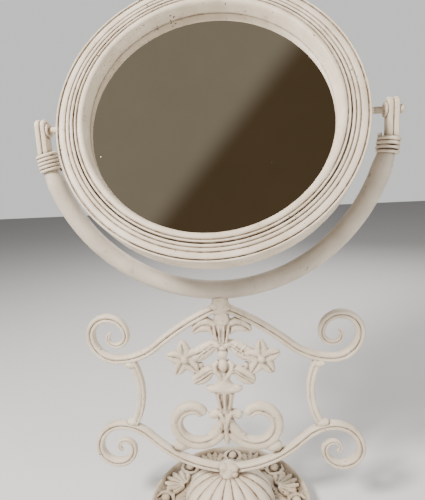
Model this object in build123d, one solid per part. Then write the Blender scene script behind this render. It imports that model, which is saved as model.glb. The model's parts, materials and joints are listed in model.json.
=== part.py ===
from build123d import *
# Countertop vanity mirror: a round leaning head in a tube yoke, on an iron
# scroll panel and a round cast base. Millimetres, +Z up, front is -Y, and the
# origin is the centre of the face that the base stands on.
import os
from math import cos, sin, radians

# ---- base ----
felt_thickness = 1.5
foot_radius = 76.0
foot_width = 10.0
rim_radius = 80.0
rim_height = 18.0
rim_thickness = 2.6
base_wall = 4.0
ground_height = 12.5        # recessed ground inside the rim
dome_radius = 42.0
dome_height = 33.0
dome_wall = 4.0
seat_clearance = 0.2        # dome in its seat
boss_radius = 9.8
boss_height = 17.0
boss_sink = 4.0             # how far the boss sits down over the dome top
bar_entry = 0.62            # share of the boss height where the lower bars enter
tie_rod_diameter = 8.0
tie_rod_clearance = 0.3
nut_across_flats = 13.0
nut_height = 5.5
washer_outer = 24.0
washer_thickness = 1.5

# ---- scroll panel ----
bar_width = 8.5             # across the face of a scroll bar
bar_depth = 7.5             # front to back
bar_edge = 1.2
panel_height = 166.0        # between the inner ends of the lower and upper bars
bar_start = 6.0             # where a bar's centre line begins, off the centre
upper_crest = (239.0, 16.0)     # radius and degrees, bulging away from the centre
upper_sag = (60.0, 40.0)        # radius and degrees, down to the curl
upper_curl = (24.6, 17.5, 17.0, 10.5, 7.5)
lower_sag = (104.0, 38.0)
lower_run = 14.0            # straight stretch of a lower bar
lower_crest = (38.0, 43.0)
lower_curl = (24.3, 18.0, 16.5, 8.5, 6.5)
curl_tip = (5.0, 50.0)
strut_inset = 12.0          # strut ends, in from where the curls begin
strut_bow = 9.5             # how far the strut bows towards the centre
c_scroll_width = 12.5
c_scroll_start = (5.5, 40.5)    # off the centre, and above the lower bars' ends
c_scroll_turns = ((26.0, 60.0), (21.0, 90.0), (17.0, 90.0), (11.0, 60.0))
c_scroll_pad = 11.0
peak_width = 16.0
peak_depth = 14.0
peak_height = 15.0
peak_rise = 0.75            # share of the block that stands above the upper bars' ends

# ---- ornament casting ----
ornament_depth = 9.0
petal_radius = 6.0
petal_reach = 9.5
petal_count = 5
flower_spread = 36.0        # flower centres, off the centre line

# ---- yoke ----
head_gap = 16.0             # from the head's edge to the inner face of the lugs
tube_diameter = 17.0
tube_wall = 2.0
yoke_seat = 1.5             # how far the block is scooped to seat the tube
tube_end_diameter = 13.6    # the ends are swaged down and closed
tube_end_angle = 12.0       # where the tube ends, below the pivot axis
swage_angle = 8.0
lug_thickness = 5.0
lug_width = 11.0
lug_top = 9.7               # above the pivot axis
lug_edge = 1.9
wire_diameter = 3.2
wire_turns = 5
wire_pitch = 3.1
wrap_drop = 27.5            # centre of the binding, below the pivot axis

# ---- tilting head ----
head_lean = 25.5            # degrees, face turned up at rest
head_radius = 127.0
rim_front = 19.5            # front edge of the frame, ahead of the pivot axis
hoop_depth = 24.0
hoop_wall = 2.5
moulding_width = 14.6       # outer moulding, inward from the frame's edge
moulding_height = 5.0
ring_gap = 0.8              # dark line between the two mouldings
opening_radius = 102.0
bezel_lip = 2.2
glass_radius = 105.0
glass_thickness = 3.0
glass_front = 7.0           # face of the glass, ahead of the pivot axis
board_thickness = 2.0
carrier_thickness = 2.0
carrier_bore = 96.0
cover_thickness = 1.2
cover_flange = 12.0
cover_bulge = 7.0
cover_clearance = 0.3
cover_screw_count = 6
cover_screw_diameter = 3.0
cover_screw_head = 6.0
cover_screw_head_height = 1.8

# ---- pivots ----
stud_diameter = 5.6
stud_clearance = 0.05       # running fit in the lugs
stud_flare = 4.5            # radius of the brazed flare on the hoop
flare_length = 6.0
ball_radius = 3.9
pivot_washer_radius = 6.0
pivot_washer_thickness = 1.4
side_gap = 0.3              # washer to lug, and ball to lug

# ---- sizes that follow ----
lug_inner_face = head_radius + head_gap
yoke_radius = lug_inner_face + lug_thickness    # centre line of the tube
web_top = ground_height
dome_top = web_top + dome_height
boss_base = dome_top - boss_sink
lower_start_height = boss_base + boss_height * bar_entry
upper_start_height = lower_start_height + panel_height
tube_radius = tube_diameter / 2
peak_top = upper_start_height + peak_height * peak_rise
yoke_bottom = peak_top + tube_radius - yoke_seat
pivot_height = yoke_bottom + yoke_radius
hoop_back = rim_front - hoop_depth


def turned(*points):
    """A ring or disc turned about Z from (radius, height) corners."""
    outline = make_face(Polyline(*[(r, 0, z) for r, z in points], close=True))
    return revolve(outline, Axis.Z)


def walk(start, heading, moves):
    """A line of tangent arcs and runs in the XZ plane. A move is (radius,
    degrees), turning left when the degrees are positive, or (length, 0)."""
    x, z = start
    edges = []
    for radius, turn in moves:
        if turn == 0:
            there = x + radius * cos(radians(heading)), z + radius * sin(radians(heading))
            edges.append(Line((x, 0, z), (there[0], 0, there[1])))
            x, z = there
            continue
        side = 1 if turn > 0 else -1
        centre_x = x - side * radius * sin(radians(heading))
        centre_z = z + side * radius * cos(radians(heading))

        def on_arc(angle):
            return (
                centre_x + side * radius * sin(radians(angle)),
                0,
                centre_z - side * radius * cos(radians(angle)),
            )

        ends = on_arc(heading), on_arc(heading + turn / 2), on_arc(heading + turn)
        edges.append(ThreePointArc(*ends))
        heading += turn
        x, _, z = ends[2]
    return Wire(edges), (x, z)


def bar_along(path, width, depth, edge):
    """A flat bar with eased edges, swept along a line in the XZ plane."""
    plane = Plane(path @ 0, x_dir=(0, 1, 0), z_dir=path % 0)
    return sweep(plane * RectangleRounded(depth, width, edge), path=path)


def cut_back(piece, *others):
    """The piece, cut where it meets what it is welded or seated on."""
    for other in others:
        piece = piece - other
    return solid_of(piece)


def solid_of(piece):
    """The largest solid of a result, as one plain solid."""
    return max(piece.solids(), key=lambda solid: solid.volume)


def both_sides(piece):
    return {"right": piece, "left": piece.mirror(Plane.YZ)}


# ---- base ----

def base_dish():
    foot_inner = foot_radius - foot_width
    top = rim_height
    return turned(
        (foot_inner, felt_thickness),
        (foot_radius, felt_thickness),
        (rim_radius - 2.0, top - 8.0),
        (rim_radius, top - 1.0),
        (rim_radius - rim_thickness / 2, top),
        (rim_radius - rim_thickness, top - 1.0),
        (rim_radius - rim_thickness - 3.0, ground_height),
        (dome_radius + seat_clearance, web_top + 1.5),
        (dome_radius + seat_clearance, web_top),
        (tie_rod_diameter / 2 + tie_rod_clearance, web_top),
        (tie_rod_diameter / 2 + tie_rod_clearance, web_top - base_wall),
        (foot_inner, web_top - base_wall),
    )


def felt_ring():
    return turned(
        (foot_radius - foot_width, 0),
        (foot_radius - 1.0, 0),
        (foot_radius - 1.0, felt_thickness),
        (foot_radius - foot_width, felt_thickness),
    )


def dome_shape(radius, height):
    """Half of a flattened ball, standing on the web of the base."""
    quarter = EllipticalCenterArc((0, 0), radius, height, start_angle=0, arc_size=90)
    outline = make_face([quarter, Line((0, height), (0, 0)), Line((0, 0), (radius, 0))])
    return Pos(0, 0, web_top) * revolve(Plane.XZ * outline, Axis.Z)


def gadrooned_dome():
    hole = Cylinder(tie_rod_diameter / 2 + tie_rod_clearance, 3 * dome_height)
    shell = dome_shape(dome_radius, dome_height)
    shell -= dome_shape(dome_radius - dome_wall, dome_height - dome_wall)
    return solid_of(shell - Pos(0, 0, dome_top) * hole)


def centre_boss():
    lump = Cylinder(boss_radius, boss_height, align=(Align.CENTER, Align.CENTER, Align.MIN))
    lump = fillet(lump.edges(), boss_radius * 0.4)
    rod = Cylinder(tie_rod_diameter / 2, boss_height)
    lump = Pos(0, 0, boss_base) * (lump - rod)
    return cut_back(lump, dome_shape(dome_radius, dome_height))


def tie_rod():
    bottom = felt_thickness + 0.8
    length = boss_base + boss_height / 2 - bottom
    rod = Cylinder(tie_rod_diameter / 2, length, align=(Align.CENTER, Align.CENTER, Align.MIN))
    return Pos(0, 0, bottom) * rod


def tie_washer():
    washer = Cylinder(washer_outer / 2, washer_thickness, align=(Align.CENTER, Align.CENTER, Align.MAX))
    washer -= Cylinder(tie_rod_diameter / 2 + tie_rod_clearance, 4 * washer_thickness)
    return Pos(0, 0, web_top - base_wall) * washer


def tie_nut():
    flats = RegularPolygon(nut_across_flats / 2, 6, major_radius=False)
    nut = extrude(flats - Circle(tie_rod_diameter / 2), -nut_height)
    return Pos(0, 0, web_top - base_wall - washer_thickness) * nut


# ---- scroll panel ----

def upper_line(curled=True):
    """Centre line of an upper bar, and where it ends; without its curl, the
    end is where the curl begins."""
    moves = [(upper_crest[0], -upper_crest[1]), upper_sag]
    if curled:
        moves += [(radius, 90.0) for radius in upper_curl] + [curl_tip]
    heading = upper_crest[1] - upper_sag[1]
    return walk((bar_start, upper_start_height), heading, moves)


def lower_line(curled=True):
    """Centre line of a lower bar, and where it ends, as for an upper bar."""
    moves = [lower_sag, (lower_run, 0), (lower_crest[0], -lower_crest[1])]
    if curled:
        moves += [(radius, -90.0) for radius in lower_curl] + [(curl_tip[0], -curl_tip[1])]
    heading = lower_crest[1] - lower_sag[1]
    return walk((bar_start, lower_start_height), heading, moves)


def scroll_bar(line):
    return solid_of(bar_along(line[0], bar_width, bar_depth, bar_edge))


def side_strut(upper, lower):
    (top_x, top_z), (low_x, low_z) = upper_line(False)[1], lower_line(False)[1]
    middle = ((top_x + low_x) / 2 - strut_inset - strut_bow, 0, (top_z + low_z) / 2)
    path = ThreePointArc((top_x - strut_inset, 0, top_z), middle, (low_x - strut_inset, 0, low_z))
    return cut_back(bar_along(path, bar_width, bar_depth, bar_edge), upper, lower)


def c_scroll(lower_bar, ornament):
    offset, rise = c_scroll_start
    start = (offset, lower_start_height + rise)
    path, _ = walk(start, -c_scroll_turns[0][1], c_scroll_turns)
    strip = bar_along(path, c_scroll_width, bar_depth, bar_edge)
    across = c_scroll_turns[1][0] + c_scroll_width / 2
    first_radius, first_turn = c_scroll_turns[0]
    bottom_x = offset + first_radius * sin(radians(first_turn))
    bottom_z = start[1] - first_radius * (1 - cos(radians(first_turn)))
    hub_z = bottom_z + c_scroll_turns[1][0]
    place = Pos(bottom_x, 0, hub_z) * Rot(0, 50, 0) * Pos(across + c_scroll_pad / 2 - 2.0, 0, 0)
    pad = place * Box(c_scroll_pad + 4.0, bar_depth, c_scroll_pad * 0.8)
    return cut_back(strip + pad, lower_bar, ornament)


def peak_block(tube):
    tall = peak_height + tube_radius
    block = Box(peak_width, peak_depth, tall, align=(Align.CENTER, Align.CENTER, Align.MIN))
    block = fillet(block.edges().filter_by(Axis.Z), 3.0)
    return cut_back(Pos(0, 0, peak_top - peak_height) * block, tube)


# ---- ornament: one casting, drawn in the XZ plane about its centre line ----

def flower(spread):
    reach = PolarLocations(petal_reach, petal_count, start_angle=90)
    petals = [place * Circle(petal_radius) for place in reach]
    outline = Circle(petal_reach)
    for petal in petals:
        outline += petal
    return Pos(spread, flower_rise()) * outline


def flower_rise():
    return panel_height - 50.0


def leaf(start, end, width):
    """A pointed leaf between two places."""
    (x0, z0), (x1, z1) = start, end
    dx, dz = (x1 - x0) / 2, (z1 - z0) / 2
    length = (dx ** 2 + dz ** 2) ** 0.5
    side_x, side_z = -dz / length * width / 2, dx / length * width / 2
    middle = (x0 + dx, z0 + dz)
    bulge = [(middle[0] + s * side_x, middle[1] + s * side_z) for s in (1, -1)]
    return make_face([ThreePointArc(start, bulge[0], end), ThreePointArc(end, bulge[1], start)])


def ornament_outline():
    """Half of the casting; heights count up from the lower bars' ends."""
    top = panel_height
    rise = flower_rise()
    stem = make_face(Polyline(
        (0, top - 1.0), (7.0, top - 1.0), (7.0, top - 5.0), (8.4, top - 12.0), (8.6, top - 22.0),
        (6.5, top - 37.0), (4.7, top - 40.0), (4.7, top - 48.0), (9.6, top - 55.0), (7.5, top - 71.0),
        (7.5, top - 77.0), (17.5, top - 78.0), (17.5, top - 84.0), (9.6, top - 87.0), (6.3, top - 106.0),
        (6.3, top - 116.0), (0, 22.0), close=True,
    ))
    shapes = [
        leaf((5.0, top - 30.0), (28.0, top - 26.0), 15.0),
        leaf((4.0, rise + 10.0), (flower_spread - 6.0, rise + 1.0), 13.0),
        leaf((6.0, top - 63.0), (33.0, top - 76.0), 12.0),
        leaf((2.0, top - 110.0), (17.0, top - 108.0), 9.0),
    ]
    outline = stem + flower(flower_spread)
    for shape in shapes:
        outline += shape
    return outline


def floral_ornament(block):
    half = ornament_outline()
    outline = half + half.mirror(Plane.YZ)
    casting = extrude(Plane.XZ * outline, ornament_depth / 2, both=True)
    return cut_back(Pos(0, 0, lower_start_height) * casting, block)


# ---- yoke ----

def yoke_place(angle):
    """Plane across the tube, at an angle below the pivot axis on the right."""
    x, z = yoke_radius * cos(radians(angle)), -yoke_radius * sin(radians(angle))
    along = (sin(radians(angle)), 0, cos(radians(angle)))
    return Plane((x, 0, pivot_height + z), x_dir=(0, 1, 0), z_dir=along)


def swaged_end(angle):
    """The tube's closed end, necked down to the width of the two lugs."""
    full = yoke_place(angle + swage_angle) * Circle(tube_radius)
    neck = yoke_place(angle) * Circle(tube_end_diameter / 2)
    return loft([full, neck])


def yoke_tube():
    first = tube_end_angle + swage_angle
    ring = yoke_place(first) * (Circle(tube_radius) - Circle(tube_radius - tube_wall))
    axis = Axis((0, 0, pivot_height), (0, 1, 0))
    bend = revolve(ring, axis, 180.0 - 2 * first)
    end = swaged_end(tube_end_angle)
    return solid_of(bend + end + end.mirror(Plane.YZ))


def lug(inner_face):
    """One of the two round-topped plates that carry a pivot."""
    bottom = -yoke_radius * sin(radians(tube_end_angle)) - 4.0
    half = lug_width / 2
    straight = lug_top - half
    sides = make_face([
        Polyline((-half, straight), (-half, bottom), (half, bottom), (half, straight)),
        RadiusArc((half, straight), (-half, straight), -half),
    ])
    plate = extrude(Plane.YZ * sides, lug_thickness)
    plate = fillet(plate.edges().filter_by(Plane.YZ), lug_edge)
    hole = Cylinder(stud_diameter / 2 + stud_clearance, 6 * lug_thickness, rotation=(0, 90, 0))
    plate = Pos(inner_face, 0, pivot_height) * (plate - hole)
    below = yoke_place(tube_end_angle) * Box(60, 60, 30, align=(Align.CENTER, Align.CENTER, Align.MAX))
    return cut_back(plate, below)


def wire_wrap(*core):
    """Turns of wire bound round the joint of the tube and the lugs."""
    angle = tube_end_angle
    middle = wrap_drop - yoke_radius * sin(radians(angle))
    ring = Torus((tube_end_diameter + wire_diameter) / 2, wire_diameter / 2)
    turns = Part()
    for turn in range(wire_turns):
        height = (turn - (wire_turns - 1) / 2) * wire_pitch - middle
        turns += yoke_place(angle).offset(height) * ring
    return cut_back(turns, *core)


# ---- tilting head, drawn face up and then leaned ----

def leaned(piece):
    return Pos(0, 0, pivot_height) * Rot(90.0 - head_lean, 0, 0) * piece


def moulding_base():
    return rim_front - moulding_height


def frame_hoop():
    inner = head_radius - hoop_wall
    return turned(
        (inner, hoop_back), (head_radius, hoop_back),
        (head_radius, moulding_base()), (inner, moulding_base()),
    )


def outer_moulding():
    """Rim edge, flat band and two beads, with a leg down to the carrier."""
    inner = head_radius - moulding_width
    front, floor = rim_front, moulding_base()
    return turned(
        (head_radius, floor), (head_radius, front - 0.6), (head_radius - 0.6, front),
        (head_radius - 3.2, front), (head_radius - 4.2, front - 2.6), (head_radius - 5.4, front - 1.2),
        (head_radius - 7.8, front - 0.6), (head_radius - 10.0, front - 1.4),
        (head_radius - 10.6, front - 2.4), (head_radius - 11.4, front - 1.4),
        (head_radius - 13.2, front - 1.2), (inner, front - 2.6),
        (inner, carrier_front()), (inner + 2.0, carrier_front()), (inner + 2.0, floor),
    )


def bezel_ring():
    """Inner moulding: it holds the glass down and frames the opening."""
    outer = head_radius - moulding_width - ring_gap
    front = rim_front
    glass = glass_front
    return turned(
        (outer, carrier_front()), (outer, front - 2.8), (outer - 1.0, front - 1.4),
        (outer - 3.6, front - 1.0), (outer - 5.2, front - 2.2), (outer - 5.8, front - 2.2),
        (outer - 7.4, front - 0.6), (opening_radius + 0.8, front - 0.2),
        (opening_radius, front - 1.2), (opening_radius, glass),
        (opening_radius + bezel_lip, glass), (glass_radius + cover_clearance, front - 6.0),
        (outer - 2.2, front - 6.0), (outer - 2.2, carrier_front()),
    )


def mirror_glass():
    return turned(
        (0, glass_front - glass_thickness), (glass_radius, glass_front - glass_thickness),
        (glass_radius, glass_front), (0, glass_front),
    )


def board_front():
    return glass_front - glass_thickness


def carrier_front():
    return board_front() - board_thickness


def backing_board():
    return turned(
        (0, carrier_front()), (glass_radius, carrier_front()),
        (glass_radius, board_front()), (0, board_front()),
    )


def carrier_ring(screws):
    outer = head_radius - hoop_wall
    back = carrier_front() - carrier_thickness
    ring = turned(
        (carrier_bore, back), (outer, back), (outer, carrier_front()), (carrier_bore, carrier_front()),
    )
    return solid_of(ring - screws)


def back_cover(screws):
    """A pressed pan: a flat flange against the carrier and a raised middle."""
    outer = head_radius - hoop_wall - cover_clearance
    step = outer - cover_flange
    front = carrier_front() - carrier_thickness
    back = front - cover_bulge
    pan = turned(
        (outer, front), (outer, front - cover_thickness), (step, front - cover_thickness),
        (step - 5.0, back), (0, back), (0, back + cover_thickness),
        (step - 5.0 - cover_thickness, back + cover_thickness), (step - cover_thickness, front),
    )
    return solid_of(pan - screws)


def cover_screws():
    """Round-headed screws through the pan's flange into the carrier."""
    front = carrier_front()
    flange_back = front - carrier_thickness - cover_thickness
    hanging = (Align.CENTER, Align.CENTER, Align.MAX)
    shank = Cylinder(cover_screw_diameter / 2, front - flange_back, align=hanging)
    head = Cylinder(cover_screw_head / 2, cover_screw_head_height, align=hanging)
    head = fillet(head.faces().sort_by(Axis.Z)[0].edges(), 0.8)
    screw = Pos(0, 0, front) * shank + Pos(0, 0, flange_back) * head
    circle = head_radius - hoop_wall - cover_clearance - cover_flange / 2
    places = PolarLocations(circle, cover_screw_count, start_angle=30)
    return [place * screw for place in places]


# ---- pivots ----

def pivot_stud(with_ball):
    """Stud brazed to the hoop; it turns in the lugs. Drawn on the right."""
    radius = stud_diameter / 2
    end = yoke_radius + lug_thickness
    points = [(0, head_radius - hoop_wall), (stud_flare, head_radius - hoop_wall),
              (stud_flare, head_radius + 0.5), (radius + 0.4, head_radius + flare_length / 2),
              (radius, head_radius + flare_length), (radius, end + side_gap), (0, end + side_gap)]
    stud = Rot(0, 90, 0) * turned(*points)
    if with_ball:
        ball = Pos(end + 1.2, 0, 0) * Sphere(ball_radius)
        outside = Pos(end + side_gap, 0, 0) * Box(40, 40, 40, align=(Align.MIN, Align.CENTER, Align.CENTER))
        stud += ball & outside
    bore = Cylinder(head_radius, 200)
    return solid_of(stud - Rot(90.0 - head_lean, 0, 0) * bore)


def pivot_washer():
    washer = Cylinder(pivot_washer_radius, pivot_washer_thickness) - Cylinder(stud_diameter / 2, 20)
    x = lug_inner_face - side_gap - pivot_washer_thickness / 2
    return Pos(x, 0, pivot_height) * Rot(0, 90, 0) * washer


def build():
    """Every node of the mirror, by name."""
    nodes = {
        "base_dish": base_dish(), "felt_ring": felt_ring(), "gadrooned_dome": gadrooned_dome(),
        "tie_rod": tie_rod(), "tie_washer": tie_washer(), "tie_nut": tie_nut(),
        "yoke_tube": yoke_tube(),
    }
    boss = centre_boss()
    block = peak_block(nodes["yoke_tube"])
    ornament = floral_ornament(block)
    nodes.update(centre_boss=boss, peak_block=block, floral_ornament=ornament)

    upper = cut_back(scroll_bar(upper_line()), block, ornament)
    lower = cut_back(scroll_bar(lower_line()), boss, tie_rod())
    inner_lug = lug(lug_inner_face)
    outer_lug = lug(yoke_radius)
    paired = {
        "upper_scroll": upper, "lower_scroll": lower,
        "side_strut": side_strut(upper, lower), "c_scroll": c_scroll(lower, ornament),
        "inner_lug": inner_lug, "outer_lug": outer_lug,
        "wire_wrap": wire_wrap(nodes["yoke_tube"], inner_lug, outer_lug),
        "pivot_washer": pivot_washer(),
    }
    for name, piece in paired.items():
        for side, shape in both_sides(piece).items():
            nodes[f"{name}_{side}"] = shape
    nodes["pivot_stud_right"] = Pos(0, 0, pivot_height) * pivot_stud(True)
    nodes["pivot_stud_left"] = Pos(0, 0, pivot_height) * pivot_stud(False).mirror(Plane.YZ)

    screws = cover_screws()
    head = {
        "frame_hoop": frame_hoop(), "outer_moulding": outer_moulding(), "bezel_ring": bezel_ring(),
        "mirror_glass": mirror_glass(), "backing_board": backing_board(),
        "carrier_ring": carrier_ring(screws), "back_cover": back_cover(screws),
        "cover_screws": Compound(screws),
    }
    nodes.update({name: leaned(piece) for name, piece in head.items()})
    return nodes


os.makedirs("parts", exist_ok=True)
for node, shape in build().items():
    export_step(shape, f"parts/{node}.step")
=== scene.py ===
"""Looks of the countertop mirror: painted iron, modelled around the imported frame."""
import bpy
import json
from math import atan2, cos, degrees, hypot, pi, radians, sin
from mathutils import Matrix, Vector


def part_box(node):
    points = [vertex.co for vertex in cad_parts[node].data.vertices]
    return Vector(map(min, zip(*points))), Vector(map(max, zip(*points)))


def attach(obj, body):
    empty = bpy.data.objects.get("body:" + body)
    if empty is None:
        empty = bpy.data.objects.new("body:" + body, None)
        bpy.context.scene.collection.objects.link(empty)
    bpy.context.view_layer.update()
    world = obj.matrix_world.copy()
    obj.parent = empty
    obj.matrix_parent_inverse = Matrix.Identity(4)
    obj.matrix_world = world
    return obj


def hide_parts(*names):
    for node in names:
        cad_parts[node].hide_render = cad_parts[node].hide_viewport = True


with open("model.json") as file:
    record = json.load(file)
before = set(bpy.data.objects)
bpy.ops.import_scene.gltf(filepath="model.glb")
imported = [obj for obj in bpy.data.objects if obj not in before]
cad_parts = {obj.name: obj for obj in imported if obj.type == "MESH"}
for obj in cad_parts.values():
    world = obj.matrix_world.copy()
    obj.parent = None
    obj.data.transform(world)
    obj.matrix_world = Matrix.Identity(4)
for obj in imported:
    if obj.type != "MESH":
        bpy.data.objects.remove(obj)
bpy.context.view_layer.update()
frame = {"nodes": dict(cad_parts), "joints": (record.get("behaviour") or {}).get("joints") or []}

MM = 0.001
STAND, HEAD = "stand", "head"
DOUBLES = 0.01 * MM             # points closer than this are one
RIB_COUNT = 16
PIVOT = Vector(frame["joints"][0]["pos_m"])


# ---------------------------------------------------------------- mesh tools

def deselect():
    if bpy.context.object and bpy.context.object.mode != "OBJECT":
        bpy.ops.object.mode_set(mode="OBJECT")
    bpy.ops.object.select_all(action="DESELECT")


def activate(obj):
    deselect()
    obj.select_set(True)
    bpy.context.view_layer.objects.active = obj


def edit(obj, select="DESELECT"):
    activate(obj)
    bpy.ops.object.mode_set(mode="EDIT")
    bpy.ops.mesh.select_all(action=select)


def leave():
    bpy.ops.object.mode_set(mode="OBJECT")


def settle(obj):
    """Puts the object's place into its mesh."""
    activate(obj)
    bpy.ops.object.transform_apply(location=True, rotation=True, scale=True)


def outline(name, points):
    """A closed loop of edges through the given places."""
    deselect()
    bpy.ops.mesh.primitive_circle_add(vertices=len(points), radius=MM, fill_type="NOTHING")
    obj = bpy.context.object
    obj.name = obj.data.name = name
    for vertex, place in zip(obj.data.vertices, points):
        vertex.co = place
    return obj


def face_out(obj):
    edit(obj, "SELECT")
    bpy.ops.mesh.normals_make_consistent(inside=False)
    leave()


def tidy(obj):
    edit(obj, "SELECT")
    bpy.ops.mesh.remove_doubles(threshold=DOUBLES)
    bpy.ops.mesh.normals_make_consistent(inside=False)
    leave()


def close_ends():
    """Fills the open ends of the mesh that is being edited."""
    bpy.ops.mesh.select_all(action="DESELECT")
    bpy.ops.mesh.select_non_manifold(extend=False)
    bpy.ops.mesh.fill_holes(sides=0)


def smooth(obj, degrees=40.0):
    activate(obj)
    bpy.ops.object.shade_smooth_by_angle(angle=radians(degrees))


def apply_modifier(obj, kind, **values):
    activate(obj)
    modifier = obj.modifiers.new(kind.lower(), kind)
    for key, value in values.items():
        setattr(modifier, key, value)
    bpy.ops.object.modifier_apply(modifier=modifier.name)


def roughen(obj, strength, size):
    """Casting unevenness: the surface moved in and out by a soft noise."""
    micron = MM / 1000
    name = "unevenness_%d_%d" % (round(strength / micron), round(size / micron))
    texture = bpy.data.textures.get(name) or bpy.data.textures.new(name, "CLOUDS")
    texture.noise_scale = size
    texture.noise_depth = 2
    apply_modifier(obj, "DISPLACE", texture=texture, texture_coords="LOCAL", strength=strength,
                   mid_level=0.5)


def full_turn(obj, steps):
    """A profile turned right round Z."""
    edit(obj, "SELECT")
    bpy.ops.mesh.spin(steps=steps, angle=2 * pi, center=(0, 0, 0), axis=(0, 0, 1), use_auto_merge=True)
    leave()
    tidy(obj)


def mirrored(obj, name):
    activate(obj)
    bpy.ops.object.duplicate()
    twin = bpy.context.object
    twin.name = twin.data.name = name
    twin.scale.x = -1
    settle(twin)
    face_out(twin)
    return twin


def join(name, objects):
    deselect()
    for obj in objects:
        obj.select_set(True)
    bpy.context.view_layer.objects.active = objects[0]
    bpy.ops.object.join()
    whole = bpy.context.object
    whole.name = whole.data.name = name
    return whole


def blend_casting(obj, voxel, smoothing):
    """Runs separate lumps together into one cast surface."""
    apply_modifier(obj, "REMESH", mode="VOXEL", voxel_size=voxel)
    apply_modifier(obj, "SMOOTH", factor=0.5, iterations=smoothing)


def finish_piece(obj, body, slot, material, *nodes):
    obj.data.materials.clear()
    obj.data.materials.append(material)
    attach(obj, body)
    if nodes:
        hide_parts(*nodes)


def lean(obj):
    """Puts a piece that was modelled face up, about the pivot, in its place."""
    obj.matrix_world = Matrix.Translation(PIVOT) @ Matrix.Rotation(radians(90.0 - HEAD_LEAN), 4, "X")
    settle(obj)


# ---------------------------------------------------------------- materials

CREAM, CREAM_SHADE, BROWN = (0.76, 0.655, 0.52), (0.62, 0.515, 0.385), (0.105, 0.052, 0.021)
BARE_IRON = (0.012, 0.011, 0.010)
PAINT_SHEEN = 0.42


class Graph:
    """Short names for building one material's nodes."""

    def __init__(self, name):
        self.material = bpy.data.materials.new(name)
        self.material.use_nodes = True
        self.tree = self.material.node_tree
        self.shader = self.tree.nodes["Principled BSDF"]
        self.place = self.add("ShaderNodeTexCoord").outputs["Object"]

    def feed(self, socket, value):
        """A socket takes another node's output or a plain value."""
        if isinstance(value, bpy.types.NodeSocket):
            self.tree.links.new(value, socket)
        else:
            socket.default_value = value

    def add(self, kind, inputs=None, **settings):
        node = self.tree.nodes.new(kind)
        for key, value in settings.items():
            setattr(node, key, value)
        for key, value in (inputs or {}).items():
            self.feed(node.inputs[key], value)
        return node

    def noise(self, scale, detail=3.0, roughness=0.55):
        return self.add("ShaderNodeTexNoise", {
            "Vector": self.place, "Scale": scale, "Detail": detail, "Roughness": roughness}).outputs["Fac"]

    def spread(self, value, low, high, bottom=0.0, top=1.0):
        return self.add("ShaderNodeMapRange", {
            "Value": value, "From Min": low, "From Max": high, "To Min": bottom, "To Max": top},
            clamp=True).outputs["Result"]

    def maths(self, operation, first, second=0.5, clamp=True):
        return self.add("ShaderNodeMath", {0: first, 1: second}, operation=operation,
                        use_clamp=clamp).outputs[0]

    def mix(self, factor, first, second):
        node = self.add("ShaderNodeMix", data_type="RGBA")
        for socket, value in (("Factor", factor), ("A", first), ("B", second)):
            self.feed([i for i in node.inputs if i.name == socket and i.enabled][0], value)
        return [o for o in node.outputs if o.enabled][0]

    def bump(self, height, strength, distance, under=None):
        inputs = {"Height": height, "Strength": strength, "Distance": distance}
        if under is not None:
            inputs["Normal"] = under
        return self.add("ShaderNodeBump", inputs).outputs["Normal"]

    def surface(self, inputs):
        for key, value in inputs.items():
            self.feed(self.shader.inputs[key], value)


def old_paint(name, cream, shade, brown_and_shade, reach, brown_and_shade_strength, chips, grain, ribs=0):
    """Cream paint with small dark chips, brown settled in the hollows and pits together with painted shade there,
    and painted shade in the grooves between the ribs that stand round Z.
    """
    g = Graph(name)
    cloudy = g.noise(38.0, 4.0)
    tone = g.mix(g.spread(cloudy, 0.35, 0.7), (*cream, 1), (*shade, 1))
    # painted shade: ambient occlusion and pointiness darken the hollows and pits, partly settled brown and partly
    # shade
    cavity = g.add("ShaderNodeAmbientOcclusion", {"Distance": reach}, samples=8,
                   only_local=False).outputs["AO"]
    blotch = g.noise(160.0, 5.0, 0.7)
    dent = g.spread(g.add("ShaderNodeNewGeometry").outputs["Pointiness"], 0.492, 0.445)
    deep = g.maths("ADD", g.spread(cavity, 0.92, 0.48), dent)
    # painted shade: the grooves between the ribs are darkened by their angle round Z
    if ribs:
        parts = g.add("ShaderNodeSeparateXYZ", {"Vector": g.place}).outputs
        around = g.maths("ARCTAN2", parts["Y"], parts["X"], clamp=False)
        wave = g.maths("COSINE", g.maths("MULTIPLY", around, ribs / 2, clamp=False), clamp=False)
        between = g.spread(g.maths("ABSOLUTE", wave, clamp=False), 0.42, 0.06)
        deep = g.maths("ADD", deep, between)
    hollow = g.maths("MULTIPLY", deep, g.spread(blotch, 0.30, 0.62, 0.35, 1.0))
    # the hollows are mixed towards the brown: settled brown and painted shade together
    hollow_brown_and_shade = g.mix(g.maths("MULTIPLY", hollow, brown_and_shade_strength), tone, (*brown_and_shade, 1))
    stain = g.spread(g.noise(75.0, 6.0, 0.75), 0.62, 0.74, 0.0, 0.35)
    stained = g.mix(stain, hollow_brown_and_shade, (*brown_and_shade, 1))
    fleck = g.noise(420.0, 2.0, 0.5)
    patch = g.noise(60.0, 2.0, 0.5)
    chip = g.maths("MULTIPLY", g.spread(fleck, 1.0 - chips, 1.01 - chips), g.spread(patch, 0.55, 0.60))
    coloured = g.mix(chip, stained, (*BARE_IRON, 1))
    fine = g.bump(g.noise(grain, 6.0, 0.7), 0.35, 0.25 * MM)
    broad = g.bump(g.noise(130.0, 3.0), 0.35, 0.6 * MM, fine)
    pitted = g.bump(g.maths("SUBTRACT", 1.0, chip), 0.6, 0.2 * MM, broad)
    g.surface({"Base Color": coloured, "Roughness": g.spread(blotch, 0.3, 0.7, 0.42, 0.62),
               "Normal": pitted, "Specular IOR Level": PAINT_SHEEN})
    return g.material


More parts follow.
